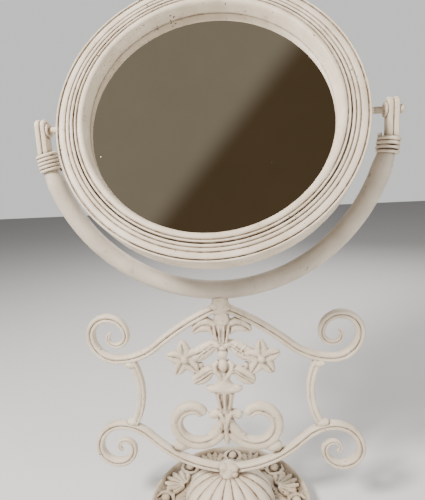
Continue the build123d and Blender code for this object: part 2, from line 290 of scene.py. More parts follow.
def plain(name, colour, metallic, rough, grain, grain_scale=300.0, mottle=0.25):
    """One quiet finish: two close tones, a fine grain and no wear."""
    g = Graph(name)
    tone = g.noise(grain_scale, 4.0)
    dark = tuple(channel * (1.0 - mottle) for channel in colour)
    g.surface({"Base Color": g.mix(g.spread(tone, 0.3, 0.7), (*colour, 1), (*dark, 1)),
               "Roughness": g.spread(tone, 0.3, 0.7, rough, rough + 0.12),
               "Metallic": metallic, "Normal": g.bump(tone, 0.5, grain)})
    return g.material


def old_silvering():
    """Mirror glass: clear, with faint smears and specks of dust."""
    g = Graph("old_silvering")
    smear = g.noise(14.0, 5.0, 0.6)
    dust = g.spread(g.noise(260.0, 2.0, 0.5), 0.76, 0.80, 0.0, 0.5)
    tone = g.mix(g.spread(smear, 0.35, 0.75), (0.83, 0.81, 0.77, 1), (0.76, 0.74, 0.70, 1))
    smeared = g.spread(smear, 0.45, 0.8, 0.012, 0.05)
    g.surface({"Base Color": g.mix(dust, tone, (0.92, 0.90, 0.86, 1)),
               "Roughness": g.maths("ADD", smeared, g.maths("MULTIPLY", dust, 0.35)),
               "Metallic": 1.0})
    return g.material


frame_paint = old_paint("frame_paint", CREAM, CREAM_SHADE, BROWN, reach=2.4 * MM, brown_and_shade_strength=0.95,
                        chips=0.325, grain=900.0)
bar_paint = old_paint("bar_paint", CREAM, CREAM_SHADE, BROWN, reach=4.0 * MM, brown_and_shade_strength=0.95,
                      chips=0.32, grain=700.0)
casting_paint = old_paint("casting_paint", (0.75, 0.64, 0.505), (0.58, 0.48, 0.355), BROWN, reach=5.0 * MM,
                          brown_and_shade_strength=1.0, chips=0.31, grain=800.0)
base_paint = old_paint("base_paint", (0.73, 0.62, 0.475), (0.46, 0.355, 0.235), (0.075, 0.038, 0.016),
                       reach=9.0 * MM, brown_and_shade_strength=1.0, chips=0.33, grain=650.0)
dome_paint = old_paint("dome_paint", CREAM, (0.62, 0.52, 0.39), (0.13, 0.058, 0.020), reach=7.0 * MM,
                       brown_and_shade_strength=1.0, chips=0.30, grain=800.0, ribs=RIB_COUNT)
tube_paint = old_paint("tube_paint", (0.62, 0.54, 0.44), (0.51, 0.44, 0.35), BROWN, reach=5.0 * MM,
                       brown_and_shade_strength=0.5, chips=0.30, grain=500.0)
steel = plain("dull_zinc", (0.42, 0.41, 0.39), metallic=1.0, rough=0.42, grain=0.05 * MM)
board_brown = plain("fibre_board", (0.22, 0.15, 0.09), metallic=0.0, rough=0.85, grain=0.1 * MM,
                    grain_scale=900.0)
felt_dark = plain("base_felt", (0.03, 0.026, 0.024), metallic=0.0, rough=0.95, grain=0.3 * MM,
                  grain_scale=2500.0, mottle=0.5)
silvering = old_silvering()


# ---------------------------------------------------------------- lumps for castings

def limb(stations, sides=14):
    """A closed rounded limb through stations of (x, z, width, depth, y), all in mm."""
    deselect()
    whole = None
    for place, station in enumerate(stations):
        x, z, width, depth, y = station
        before, after = stations[max(0, place - 1)], stations[min(len(stations) - 1, place + 1)]
        heading = atan2(after[1] - before[1], after[0] - before[0])
        centre = (x * MM, y * MM, z * MM)
        bpy.ops.mesh.primitive_circle_add(vertices=sides, radius=0.5 * MM, fill_type="NOTHING", location=centre)
        if whole is None:
            whole = bpy.context.object
            bpy.ops.object.transform_apply(location=True, rotation=True, scale=True)
            bpy.ops.object.mode_set(mode="EDIT")
            bpy.ops.mesh.select_all(action="SELECT")
        bpy.ops.transform.resize(value=(width, depth, 1), center_override=centre)
        bpy.ops.transform.rotate(value=heading - pi / 2, orient_axis="Y", center_override=centre)
    bpy.ops.mesh.select_all(action="SELECT")
    bpy.ops.mesh.bridge_edge_loops()
    close_ends()
    bpy.ops.mesh.select_all(action="SELECT")
    bpy.ops.mesh.normals_make_consistent(inside=False)
    leave()
    return whole


def pebble(x, z, width, height, depth, turn=0.0, y=0.0):
    """A squashed ball, all in mm, turned in the plane of the panel."""
    deselect()
    bpy.ops.mesh.primitive_ico_sphere_add(subdivisions=3, radius=0.5 * MM, location=(x * MM, y * MM, z * MM))
    ball = bpy.context.object
    ball.scale = (width, depth, height)
    ball.rotation_euler = (0, -radians(turn), 0)
    settle(ball)
    return ball


def two_lobed(points, depth, y=0.0, split=0.24, ridge=0.0):
    """A leaf or petal of two swelling halves with a crease along its middle; points are (x, z, width)."""
    halves = []
    for side in (1, -1):
        stations = []
        for place, (x, z, width) in enumerate(points):
            before, after = points[max(0, place - 1)], points[min(len(points) - 1, place + 1)]
            run = hypot(after[0] - before[0], after[1] - before[1])
            shift = side * split * width
            dx, dz = (after[0] - before[0]) / run, (after[1] - before[1]) / run
            thick = depth * (0.55 + 0.45 * min(1.0, width / 8.0))
            stations.append((x - dz * shift, z + dx * shift, width * 0.56, thick, y))
        halves.append(limb(stations))
    if ridge:
        halves.append(limb([(x, z, ridge, depth, y - 0.15 * depth) for x, z, _ in points]))
    return halves


# ---------------------------------------------------------------- bars

BAR_WIDTH, BAR_DEPTH = 8.5 * MM, 7.5 * MM
BAR_START = 6.0 * MM
ARC_STEP = 1.4 * MM             # length of one facet along a bar
UPPER_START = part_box("peak_block")[0][2] + 3.75 * MM
LOWER_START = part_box("centre_boss")[1][2] - 6.46 * MM
UPPER_MOVES = ((239.0, -16.0), (60.0, 40.0), (24.6, 90.0), (17.5, 90.0), (17.0, 90.0), (10.5, 90.0),
               (7.5, 90.0), (5.0, 50.0))
LOWER_MOVES = ((104.0, 38.0), (14.0, 0.0), (38.0, -43.0), (24.3, -90.0), (18.0, -90.0), (16.5, -90.0),
               (8.5, -90.0), (6.5, -90.0), (5.0, -50.0))
UPPER_HEADING, LOWER_HEADING = -24.0, 5.0
C_START = (5.5 * MM, LOWER_START + 40.5 * MM)
C_HEADING = -60.0
C_MOVES = ((26.0, 60.0), (21.0, 90.0), (17.0, 90.0), (11.0, 60.0))


def moulded_section(width, depth, groove, crease=0.0):
    """Two half-round beads on the front, meeting at the crease, and a plainly rounded back."""
    points = []
    count = 22
    for i in range(count + 1):
        u = -1.0 + 2.0 * i / count
        near = (u - crease) / ((1.0 - crease) if u > crease else (1.0 + crease))
        crown = abs(sin(pi * near)) ** 0.8
        edge = abs(u) ** 8
        points.append((u * width / 2, -depth / 2 + groove * (1.0 - crown) + groove * edge))
    for u, back in ((0.99, 0.45), (0.90, 0.88), (0.55, 1.0), (0.0, 1.0), (-0.55, 1.0), (-0.90, 0.88),
                    (-0.99, 0.45)):
        points.append((u * width / 2, back * depth / 2))
    return points


def step_along(x, z, heading, size, turn):
    """The end of one tangent arc, or of a straight run when turn is 0, and its centre."""
    if turn == 0:
        return x + size * cos(radians(heading)), z + size * sin(radians(heading)), heading, None
    side = 1 if turn > 0 else -1
    middle = (x - side * size * sin(radians(heading)), 0, z + side * size * cos(radians(heading)))
    heading += turn
    return (middle[0] + side * size * sin(radians(heading)), middle[2] - side * size * cos(radians(heading)),
            heading, middle)


def path_end(start, heading, moves):
    x, z = start
    for size, turn in moves:
        x, z, heading, _ = step_along(x, z, heading, size * MM, turn)
    return x, z


def sweep(name, section, start, heading, moves, taper_from=99, tip=1.0):
    """A section carried along tangent arcs in the XZ plane, drawn finer to its tip from one arc on."""
    x, z = start
    across = (-sin(radians(heading)), cos(radians(heading)))
    bar = outline(name, [(x + u * across[0], y, z + u * across[1]) for u, y in section])
    edit(bar, "SELECT")
    tapered = sum(abs(turn) for _, turn in moves[taper_from:])
    for place, (size, turn) in enumerate(moves):
        size *= MM
        if turn == 0:
            x, z, heading, _ = step_along(x, z, heading, size, 0)
            away = (size * cos(radians(heading)), 0, size * sin(radians(heading)))
            bpy.ops.mesh.extrude_region_move(TRANSFORM_OT_translate={"value": away})
            continue
        steps = max(5, round(size * radians(abs(turn)) / ARC_STEP))
        if place < taper_from:
            x, z, heading, middle = step_along(x, z, heading, size, turn)
            bpy.ops.mesh.spin(steps=steps, angle=radians(turn), center=middle, axis=(0, 1, 0))
            continue
        for _ in range(steps):
            x, z, heading, middle = step_along(x, z, heading, size, turn / steps)
            bpy.ops.mesh.spin(steps=1, angle=radians(turn / steps), center=middle, axis=(0, 1, 0))
            finer = tip ** (abs(turn) / steps / tapered)
            bpy.ops.transform.resize(value=(finer,) * 3, center_override=(x, 0, z))
    for push, shrink in ((0.9, 0.86), (0.7, 0.72), (0.4, 0.5)):
        away = Vector((cos(radians(heading)), 0, sin(radians(heading)))) * push * MM
        x, z = x + away.x, z + away.z
        bpy.ops.mesh.extrude_region_move(TRANSFORM_OT_translate={"value": away})
        bpy.ops.transform.resize(value=(shrink,) * 3, center_override=(x, 0, z))
    close_ends()
    leave()
    tidy(bar)
    return bar


def scroll_bars():
    section = moulded_section(BAR_WIDTH, BAR_DEPTH, 1.3 * MM)
    rows = (("upper_scroll", (BAR_START, UPPER_START), UPPER_HEADING, UPPER_MOVES, 4),
            ("lower_scroll", (BAR_START, LOWER_START), LOWER_HEADING, LOWER_MOVES, 5))
    for name, start, heading, moves, taper_from in rows:
        bar = sweep(name + "_bar_right", section, start, heading, moves, taper_from, 0.42)
        roughen(bar, 0.5 * MM, 7.0 * MM)
        smooth(bar, 60)
        twin = mirrored(bar, name + "_bar_left")
        finish_piece(bar, STAND, "cream_paint", bar_paint, name + "_right")
        finish_piece(twin, STAND, "cream_paint", bar_paint, name + "_left")


def side_struts():
    high = path_end((BAR_START, UPPER_START), UPPER_HEADING, UPPER_MOVES[:2])
    low = path_end((BAR_START, LOWER_START), LOWER_HEADING, LOWER_MOVES[:3])
    inset, bow = 12.0 * MM, 9.5 * MM
    dx, dz = high[0] - low[0], high[1] - low[1]
    chord = hypot(dx, dz)
    radius = (chord * chord / 4 + bow * bow) / (2 * bow)
    half = degrees(2 * atan2(bow, chord / 2))
    heading = degrees(atan2(dz, dx)) + half
    strut = sweep("side_strut_bar_right", moulded_section(8.2 * MM, 7.4 * MM, 1.1 * MM, 0.25),
                  (low[0] - inset, low[1]), heading, ((radius / MM, -2 * half),))
    welds = []
    for x, z in ((low[0] - inset, low[1] + 4 * MM), (high[0] - inset, high[1] - 5 * MM)):
        welds.append(pebble(x / MM, z / MM, 11.5, 8.0, 9.0, 8.0, -0.6))
        welds.append(pebble(x / MM + 3.0, z / MM + 0.6, 6.0, 5.5, 8.4, 30.0, -0.8))
    strut = join("side_strut_bar_right", [strut] + welds)
    blend_casting(strut, 0.55 * MM, 2)
    roughen(strut, 0.6 * MM, 6.0 * MM)
    smooth(strut, 60)
    twin = mirrored(strut, "side_strut_bar_left")
    finish_piece(strut, STAND, "cream_paint", bar_paint, "side_strut_right")
    finish_piece(twin, STAND, "cream_paint", bar_paint, "side_strut_left")


def c_scrolls():
    strip = sweep("c_scroll_strip_right", moulded_section(12.6 * MM, 8.5 * MM, 1.6 * MM, 0.28),
                  C_START, C_HEADING, C_MOVES, 3, 0.86)
    level = LOWER_START / MM
    pads = [pebble(46.8, level + 26.5, 15.0, 12.5, 8.0, -50.0),
            pebble(45.0, level + 25.0, 13.0, 10.0, 8.8, 20.0, -0.7),
            pebble(40.5, level + 24.0, 9.0, 6.0, 7.0, 15.0)]
    strip = join("c_scroll_strip_right", [strip] + pads)
    blend_casting(strip, 0.5 * MM, 1)
    roughen(strip, 0.45 * MM, 6.0 * MM)
    smooth(strip, 60)
    twin = mirrored(strip, "c_scroll_strip_left")
    finish_piece(strip, STAND, "cream_paint", casting_paint, "c_scroll_right")
    finish_piece(twin, STAND, "cream_paint", casting_paint, "c_scroll_left")


# ---------------------------------------------------------------- flower casting

PETAL_COUNT = 5


def petals(x, z, turn):
    """Five blunt creased petals round a button."""
    lumps = [pebble(x, z, 15.0, 15.0, 8.5, 0, -0.4), pebble(x, z, 6.8, 6.8, 4.6, 0, -5.0)]
    run = [(2.5, 10.0), (6.5, 13.6), (11.0, 12.0), (15.0, 7.6), (18.1, 2.6)]
    for petal in range(PETAL_COUNT):
        angle = radians(turn + 360.0 / PETAL_COUNT * petal)
        lumps += two_lobed([(x + out * cos(angle), z + out * sin(angle), width) for out, width in run], 7.5, -0.8)
    return lumps


def flower_side(side):
    """Wing, branch leaf, flower, hanging leaf and rolled lobe of one side; heights from the lower bars."""
    lumps = []
    wing = [(6.0, 143.0, 9.0), (9.0, 149.5, 11.5), (13.5, 151.0, 14.5), (19.0, 150.2, 12.0), (24.0, 147.2, 8.6),
            (26.8, 143.6, 3.2)]
    lumps += two_lobed(wing, 7.5, -0.5)
    lumps.append(pebble(12.5, 154.2, 8.0, 5.6, 6.5, 35.0, -1.6))
    branch = [(3.0, 131.5, 9.0), (9.0, 131.0, 10.0), (15.0, 126.5, 13.5), (21.0, 122.5, 14.5), (27.0, 119.5, 11.0),
              (32.0, 118.0, 6.0)]
    lumps += two_lobed(branch, 7.0, -0.2, 0.25, 1.9)
    for foot, tip in (((11.0, 129.5), (15.5, 133.4)), ((17.0, 126.0), (22.5, 130.6)),
                      ((12.5, 127.0), (14.5, 120.5)), ((18.5, 123.0), (20.5, 116.0))):
        middle = ((foot[0] + tip[0]) / 2, (foot[1] + tip[1]) / 2)
        lumps.append(limb([(*foot, 2.6, 7.0, -0.9), (*middle, 3.2, 7.4, -0.9), (*tip, 1.6, 5.0, -0.4)], 10))
    lumps += petals(36.0, 117.5, 92.0 if side > 0 else 84.0)
    hanging = [(6.0, 106.0, 6.0), (12.0, 105.0, 8.5), (17.0, 101.5, 13.5), (22.0, 98.0, 14.0), (26.5, 95.5, 10.0),
               (29.0, 94.0, 4.5)]
    lumps += two_lobed(hanging, 7.5, -0.6, 0.26, 2.0)
    lumps.append(limb([(9.0, 107.6, 3.5, 7.0, 0.6), (15.0, 107.6, 4.0, 7.0, 0.6), (21.0, 105.0, 4.0, 6.5, 0.3),
                       (26.0, 104.0, 3.0, 6.0, 0.0), (30.0, 108.0, 3.0, 5.5, 0.4)], 10))
    lumps.append(pebble(22.0, 109.5, 6.0, 8.0, 5.0, 20.0, 0.8))
    lobe = [(3.0, 60.5, 8.0, 7.0, 0.0), (8.0, 60.3, 9.6, 8.5, -0.6), (13.0, 59.0, 9.0, 8.0, -0.6),
            (16.4, 58.3, 5.0, 5.0, -0.2)]
    lumps.append(limb(lobe))
    lumps.append(limb([(4.5, 63.0, 3.0, 5.0, -2.2), (8.5, 61.5, 3.4, 5.0, -2.6), (12.0, 59.5, 2.8, 4.0, -2.4),
                       (13.0, 57.5, 2.0, 3.0, -2.0)], 10))
    lumps.append(limb([(-8.5, 63.5, 3.6, 5.0, -1.6), (-4.4, 61.0, 5.0, 8.0, -2.8), (-1.6, 54.5, 5.2, 8.0, -3.0),
                       (0.8, 46.0, 4.4, 7.0, -2.0)], 10))
    lumps.append(limb([(3.6, 58.0, 4.0, 7.0, 0.2), (4.4, 52.0, 7.4, 8.2, 0), (6.0, 46.5, 9.6, 8.6, 0),
                       (8.8, 41.3, 10.6, 8.6, 0), (12.4, 36.8, 10.4, 8.4, 0.1), (16.0, 34.0, 9.4, 8.0, 0.2)]))
    lumps.append(limb([(3.4, 40.0, 4.0, 7.6, -0.6), (4.6, 35.5, 4.0, 6.6, -0.6), (6.0, 31.5, 2.0, 4.0, 0.0)], 10))
    lumps.append(limb([(2.2, 86.0, 7.0, 9.5, -0.9), (8.0, 86.2, 8.0, 10.5, -0.9), (13.5, 86.6, 7.0, 8.5, -0.6),
                       (17.4, 87.0, 3.4, 4.0, 0.0)]))
    collar = [(4.5, 115.0, 3.0, 5.0, -0.2), (8.2, 111.0, 5.6, 8.0, -1.2), (7.6, 106.0, 6.2, 9.0, -1.8),
              (4.0, 101.0, 6.0, 9.0, -1.8), (1.4, 96.5, 4.6, 8.0, -1.2)]
    lumps.append(limb(collar, 10))
    for flute, lean_out in ((2.0, 0.4), (5.2, 1.6)):
        lumps.append(limb([(flute * 0.75, 134.5, 2.2, 6.5, -2.4), (flute, 141.0, 2.7, 7.0, -3.4),
                           (flute + lean_out * 0.6, 147.0, 2.9, 7.0, -3.5),
                           (flute + lean_out, 151.4, 2.0, 5.0, -3.2)], 10))
    lumps.append(limb([(3.9, 66.5, 3.0, 8.0, -1.6), (5.2, 74.0, 3.8, 9.0, -1.9), (6.6, 82.5, 4.8, 9.5, -1.9)], 10))
    for lump in lumps:
        lump.scale.x = side
        settle(lump)
        if side < 0:
            face_out(lump)
    return lumps


def flower_casting():
    lumps = flower_side(1) + flower_side(-1)
    lumps += [
        limb([(0.6, 172.0, 14.0, 9.0, 0), (0.6, 166.0, 12.6, 9.0, 0), (0.6, 162.5, 12.6, 9.0, -0.3),
              (0.6, 157.0, 15.6, 11.0, -0.8), (0.6, 153.0, 14.0, 11.0, -1.2), (0.6, 150.3, 8.0, 8.0, -1.4)], 20),
        limb([(0, 152.0, 15.0, 10.0, -0.4), (0, 145.0, 14.0, 10.0, -0.4), (0, 138.0, 12.5, 9.5, -0.2),
              (0, 132.0, 15.0, 8.5, 0), (0, 127.0, 9.0, 7.5, 0)]),
        pebble(-4.6, 131.8, 9.0, 7.5, 9.5, -20.0, -1.0), pebble(4.6, 131.8, 9.0, 7.5, 9.5, 20.0, -1.0),
        pebble(0, 128.8, 9.0, 6.0, 10.0, 0, -1.0),
        limb([(0, 128.0, 6.0, 6.0, 0), (0, 124.6, 10.6, 10.0, -0.8), (0, 121.0, 9.8, 10.0, -0.8),
              (0, 116.8, 6.6, 7.0, -0.2), (0, 112.0, 9.2, 9.6, -1.2), (0, 108.6, 9.4, 10.0, -1.4),
              (0, 104.5, 6.0, 7.0, -1.0)], 18),
        limb([(0, 108.0, 17.0, 6.5, 0.4), (0, 102.0, 15.0, 8.0, 0.0), (0, 96.5, 12.0, 9.0, -0.3),
              (0, 93.0, 13.0, 9.5, -0.3), (0, 90.0, 20.0, 10.0, -0.4), (0, 86.5, 31.0, 11.0, -0.6),
              (0, 83.5, 27.0, 10.5, -0.4), (0, 81.5, 19.0, 9.0, 0.0)], 18),
        limb([(0, 83.0, 20.5, 9.4, 0), (0, 74.0, 16.8, 9.0, 0), (0, 66.0, 13.6, 8.6, 0),
              (0, 56.0, 12.0, 8.2, 0), (0, 44.0, 11.0, 7.6, 0)], 18),
        pebble(0, 108.5, 15.0, 15.0, 9.0, 0, 0.2),
        limb([(0, 66.5, 3.4, 8.5, -2.0), (0, 74.0, 4.2, 9.5, -2.3), (0, 82.5, 5.0, 10.0, -2.2)], 10),
        limb([(1.2, 62.5, 4.2, 7.0, -2.6), (1.4, 56.0, 4.6, 8.0, -3.0), (1.2, 49.0, 3.6, 7.0, -2.6)], 10),
        limb([(0, 47.0, 5.0, 8.0, -0.6), (0, 40.0, 5.4, 8.0, -0.8), (0.2, 34.0, 6.6, 8.0, -0.8),
              (0.6, 29.5, 5.2, 6.5, -0.4), (0.8, 27.0, 2.4, 4.0, 0)], 14),
    ]
    casting = join("flower_casting", lumps)
    casting.location.z = LOWER_START
    settle(casting)
    blend_casting(casting, 0.52 * MM, 2)
    roughen(casting, 0.5 * MM, 4.0 * MM)
    smooth(casting, 60)
    finish_piece(casting, STAND, "cast_iron_painted", casting_paint, "floral_ornament")


# ---------------------------------------------------------------- welded blocks

def blocks():
    top = UPPER_START / MM
    peak = join("peak_lump", [
        limb([(0, top - 4.0, 15.0, 10.0, 0), (0, top + 2.0, 17.0, 13.0, 0), (0, top + 7.0, 15.6, 13.0, 0),
              (0, top + 13.0, 14.6, 12.0, 0)], 20),
        pebble(-5.0, top + 3.0, 9.0, 8.0, 12.5, 0, -0.8), pebble(5.0, top + 2.0, 9.0, 8.6, 12.0, 0, -0.9),
        pebble(-1.0, top + 11.0, 13.0, 4.5, 13.5, 5.0, -0.6)])
    blend_casting(peak, 0.5 * MM, 2)
    roughen(peak, 1.0 * MM, 6.0 * MM)
    smooth(peak, 60)
    finish_piece(peak, STAND, "cream_paint", bar_paint, "peak_block")
    low = LOWER_START / MM
    boss = join("boss_lump", [
        limb([(0, low - 10.5, 18.0, 18.0, 0), (0, low - 6.0, 19.2, 19.2, 0), (0, low, 19.0, 18.0, 0),
              (0, low + 4.0, 15.5, 14.0, 0), (0, low + 6.0, 8.0, 8.0, 0)], 24),
        pebble(-4.5, low + 3.0, 9.0, 8.0, 9.0, 0, -4.0), pebble(5.5, low + 2.6, 9.0, 7.0, 9.0, 0, -4.0),
        pebble(6.0, low - 3.0, 7.0, 8.0, 6.0, 0, -6.0), pebble(-1.0, low - 5.0, 10.0, 8.0, 6.0, 0, -7.4)])
    blend_casting(boss, 0.5 * MM, 2)
    roughen(boss, 1.5 * MM, 6.0 * MM)
    smooth(boss, 60)
    finish_piece(boss, STAND, "cast_iron_painted", casting_paint, "centre_boss")


# ---------------------------------------------------------------- base

GROUND = 12.5 * MM              # top of the dish's floor
LEAF_COUNT, BEAD_COUNT = 8, 66


def ribbed_dome():
    """A flattened ball gathered into swelling ribs, hollow beneath."""
    radius, height = 41.8 * MM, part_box("gadrooned_dome")[1][2] - GROUND
    around, rows = RIB_COUNT * 16, 26
    swell, wall = 4.2 * MM, 2.5 * MM
    crown = 0.93                # how far up the quarter turn the ribs run
    deselect()
    bpy.ops.mesh.primitive_circle_add(vertices=around, radius=radius - 2.2 * MM, fill_type="NOTHING",
                                      location=(0, 0, GROUND))
    dome = bpy.context.object
    dome.name = dome.data.name = "ribbed_dome"
    settle(dome)
    edit(dome, "SELECT")
    level, width = 0.0, 1.0
    for row in range(1, rows + 1):
        angle = pi / 2 * row / rows * crown
        rise, narrow = height * sin(angle), cos(angle)
        bpy.ops.mesh.extrude_region_move(TRANSFORM_OT_translate={"value": (0, 0, rise - level)})
        bpy.ops.transform.resize(value=(narrow / width, narrow / width, 1), center_override=(0, 0, 0))
        level, width = rise, narrow
    leave()
    for vertex in dome.data.vertices:
        x, y, z = vertex.co
        out = hypot(x, y)
        rib = abs(cos(RIB_COUNT * atan2(y, x) / 2)) ** 0.5
        steep = out / radius
        fuller = 1 + swell * (rib - 0.1) / max(out, DOUBLES) * steep
        sunk = swell * 0.75 * (1 - rib) * (1 - steep * 0.6)
        vertex.co = (x * fuller, y * fuller, z - sunk)
    apply_modifier(dome, "SOLIDIFY", thickness=wall, offset=-1.0)
    tidy(dome)
    roughen(dome, 0.7 * MM, 9.0 * MM)
    smooth(dome, 60)
    finish_piece(dome, STAND, "cast_iron_painted", dome_paint, "gadrooned_dome")


def flat_dish():
    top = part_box("base_dish")[1][2] / MM
    profile = [(66, 1.5), (76, 1.5), (77, 5), (78.2, 9.5), (79.6, 14), (80, 16.6), (79.7, 17.6), (78.8, top),
               (77.9, 17.7), (77.2, 16.8), (76.0, 15.4), (74.0, 13.8), (70.0, 12.9), (64, 12.5), (58, 12.5),
               (52, 12.9), (48, 13.6), (44, 13.6), (40, 12.6), (30, 12.5), (4.4, 12.5), (4.4, 8.5), (40, 8.5),
               (60, 8.5), (66, 8.0)]
    dish = outline("flat_dish", [(r * MM, 0, z * MM) for r, z in profile])
    full_turn(dish, 200)
    roughen(dish, 0.5 * MM, 5.0 * MM)
    smooth(dish, 45)
    finish_piece(dish, STAND, "cast_iron_painted", base_paint, "base_dish")


def copies_round(name, source, count, start=0.0):
    """Copies of one lump set out evenly round the base, joined."""
    made = [source]
    for place in range(1, count):
        activate(source)
        bpy.ops.object.duplicate()
        made.append(bpy.context.object)
    for place, obj in enumerate(made):
        obj.rotation_euler = (0, 0, radians(start) + 2 * pi * place / count)
        settle(obj)
    return join(name, made)


def lay_down(name, parts):
    """Parts drawn upright are laid on the base: what was depth becomes height."""
    whole = join(name, parts)
    whole.rotation_euler = (pi / 2, 0, 0)
    settle(whole)
    return whole


def almond(side):
    """One narrow leaf curling round the ball, drawn upright before it is laid down."""
    return limb([(58, 0, 3, 3, 12.6), (60, side * 6, 6, 4, 13.4), (66, side * 9.5, 6, 4, 14.0),
                 (72, side * 7.5, 5, 4, 14.6), (76, side * 2, 2.4, 3, 15.0)], 10)


def base_relief():
    """Shell leaves with veins, and a ball between almond leaves, round the dish."""
    heart = 50.5                # how far out the shell leaves' stems meet
    fingers = []
    for angle, reach in ((0, 25.0), (19, 24.5), (-19, 24.5), (40, 22.0), (-40, 22.0), (64, 17.0), (-64, 17.0)):
        a = radians(angle)
        run = [(3.0, 3.4, 4.0, 13.0), (8.0, 4.6, 5.0, 13.4), (14.0, 6.0, 5.5, 13.8), (20.0, 6.6, 5.5, 14.8),
               (reach, 3.4, 3.5, 15.6)]
        fingers.append(limb([(heart + out * cos(a), out * sin(a), width, deep, up)
                             for out, width, deep, up in run if out <= reach], 12))
        fingers.append(limb([(heart + out * cos(a), out * sin(a), 1.3, 2.0, up + 2.4)
                             for out, _, _, up in run if out <= reach - 2.0], 8))
    leaf = lay_down("shell_leaves", fingers)
    leaves = copies_round("shell_leaves", leaf, LEAF_COUNT, 180.0 / LEAF_COUNT)
    knop = lay_down("almond_leaves", [pebble(66.5, 0, 9.5, 9.5, 8.5, 0, 15.0), almond(1), almond(-1)])
    knops = copies_round("almond_leaves", knop, LEAF_COUNT)
    relief = join("base_relief", [leaves, knops])
    blend_casting(relief, 0.75 * MM, 1)
    roughen(relief, 0.8 * MM, 4.0 * MM)
    smooth(relief, 60)
    finish_piece(relief, STAND, "cast_iron_painted", base_paint)


def bead_ring():
    bead = pebble(45.8, 0, 4.3, 3.9, 3.6, 0, 0)
    bead.location.z = 15.2 * MM
    settle(bead)
    beads = copies_round("bead_ring", bead, BEAD_COUNT)
    smooth(beads, 60)
    finish_piece(beads, STAND, "cast_iron_painted", base_paint)


# ---------------------------------------------------------------- yoke

YOKE_RADIUS, TUBE_RADIUS = 148.0, 8.5
TUBE_SIDES = 40
WINDING_RADIUS = 8.3
BEND_END, NECK_ANGLE = 19.0, 12.0   # degrees below the pivots: end of the plain bend, end of the tube


def yoke_frame(angle, side):
    """Place across the tube at an angle below the pivots, its Z along the tube, upwards."""
    a = radians(angle)
    place = PIVOT + Vector((side * YOKE_RADIUS * cos(a), 0, -YOKE_RADIUS * sin(a))) * MM
    up = Vector((side * sin(a), 0, cos(a)))
    front = Vector((0, 1, 0))
    return Matrix.Translation(place) @ Matrix((front, up.cross(front), up)).transposed().to_4x4()


def yoke():
    """One bent tube with drawn-in ends."""
    level = PIVOT.z / MM
    first = radians(BEND_END)
    mouth = []
    for i in range(TUBE_SIDES):
        turn = 2 * pi * i / TUBE_SIDES
        out = YOKE_RADIUS + TUBE_RADIUS * cos(turn)
        mouth.append((out * cos(first) * MM, TUBE_RADIUS * sin(turn) * MM, PIVOT.z - out * sin(first) * MM))
    tube = outline("yoke_bend", mouth)
    edit(tube, "SELECT")
    bpy.ops.mesh.spin(steps=110, angle=-(pi - 2 * first), center=PIVOT, axis=(0, 1, 0))
    close_ends()
    leave()
    tidy(tube)
    ends = []
    for side in (1, -1):
        stations = []
        for angle, width in ((21.5, 16.9), (BEND_END, 17.0), (17.0, 16.4), (15.0, 14.8), (13.5, 13.8),
                             (NECK_ANGLE, 13.5)):
            a = radians(angle)
            stations.append((side * YOKE_RADIUS * cos(a), level - YOKE_RADIUS * sin(a), width, width, 0))
        ends.append(limb(stations, TUBE_SIDES))
    tube = join("yoke_bend", [tube] + ends)
    roughen(tube, 0.25 * MM, 16.0 * MM)
    smooth(tube, 50)
    finish_piece(tube, STAND, "tube_paint", tube_paint, "yoke_tube")


def wire_binding(side, turns, pitch, wobble, start):
    """Soft wire wound round the neck, leaning a little; start is where its end lies round the tube."""
    hand = "right" if side > 0 else "left"
    deselect()
    bpy.ops.mesh.primitive_circle_add(vertices=12, radius=1.45 * MM, fill_type="NOTHING",
                                      location=(WINDING_RADIUS * MM, 0, 0), rotation=(pi / 2, 0, 0))
    wire = bpy.context.object
    wire.name = wire.data.name = "wire_binding_" + hand
    settle(wire)
    apply_modifier(wire, "SCREW", angle=2 * pi, screw_offset=pitch * MM, iterations=turns, steps=40,
                   render_steps=40, axis="Z", use_merge_vertices=False)
    wire.location.z = -turns * pitch / 2 * MM
    settle(wire)
    edit(wire)
    close_ends()
    leave()
    tidy(wire)
    roughen(wire, wobble * MM, 9.0 * MM)
    wire.matrix_world = (yoke_frame(NECK_ANGLE, side) @ Matrix.Translation((0, 0, 3.3 * MM))
                         @ Matrix.Rotation(radians(start), 4, "Z") @ Matrix.Rotation(radians(4), 4, "X"))
    settle(wire)
    smooth(wire, 60)
    finish_piece(wire, STAND, "cream_paint", bar_paint, "wire_wrap_" + hand)


# ---------------------------------------------------------------- tilting frame

HEAD_LEAN = 25.5
FRAME_STEPS = 216
FRONT = 10.0                    # what lies past this is the face of the mouldings


def sector(obj, low, high, inner, outer, move):
    """Moves the front of a ring, between two angles and two radii, out or in."""
    edit(obj)
    leave()
    for vertex in obj.data.vertices:
        out = hypot(vertex.co.x, vertex.co.y) / MM
        angle = degrees(atan2(vertex.co.y, vertex.co.x))
        vertex.select = low < angle < high and inner < out < outer and vertex.co.z > FRONT * MM
    bpy.ops.object.mode_set(mode="EDIT")
    bpy.ops.transform.translate(value=(0, 0, move * MM))
    leave()


def ring(name, profile):
    obj = outline(name, [(r * MM, 0, d * MM) for r, d in profile])
    full_turn(obj, FRAME_STEPS)
    return obj


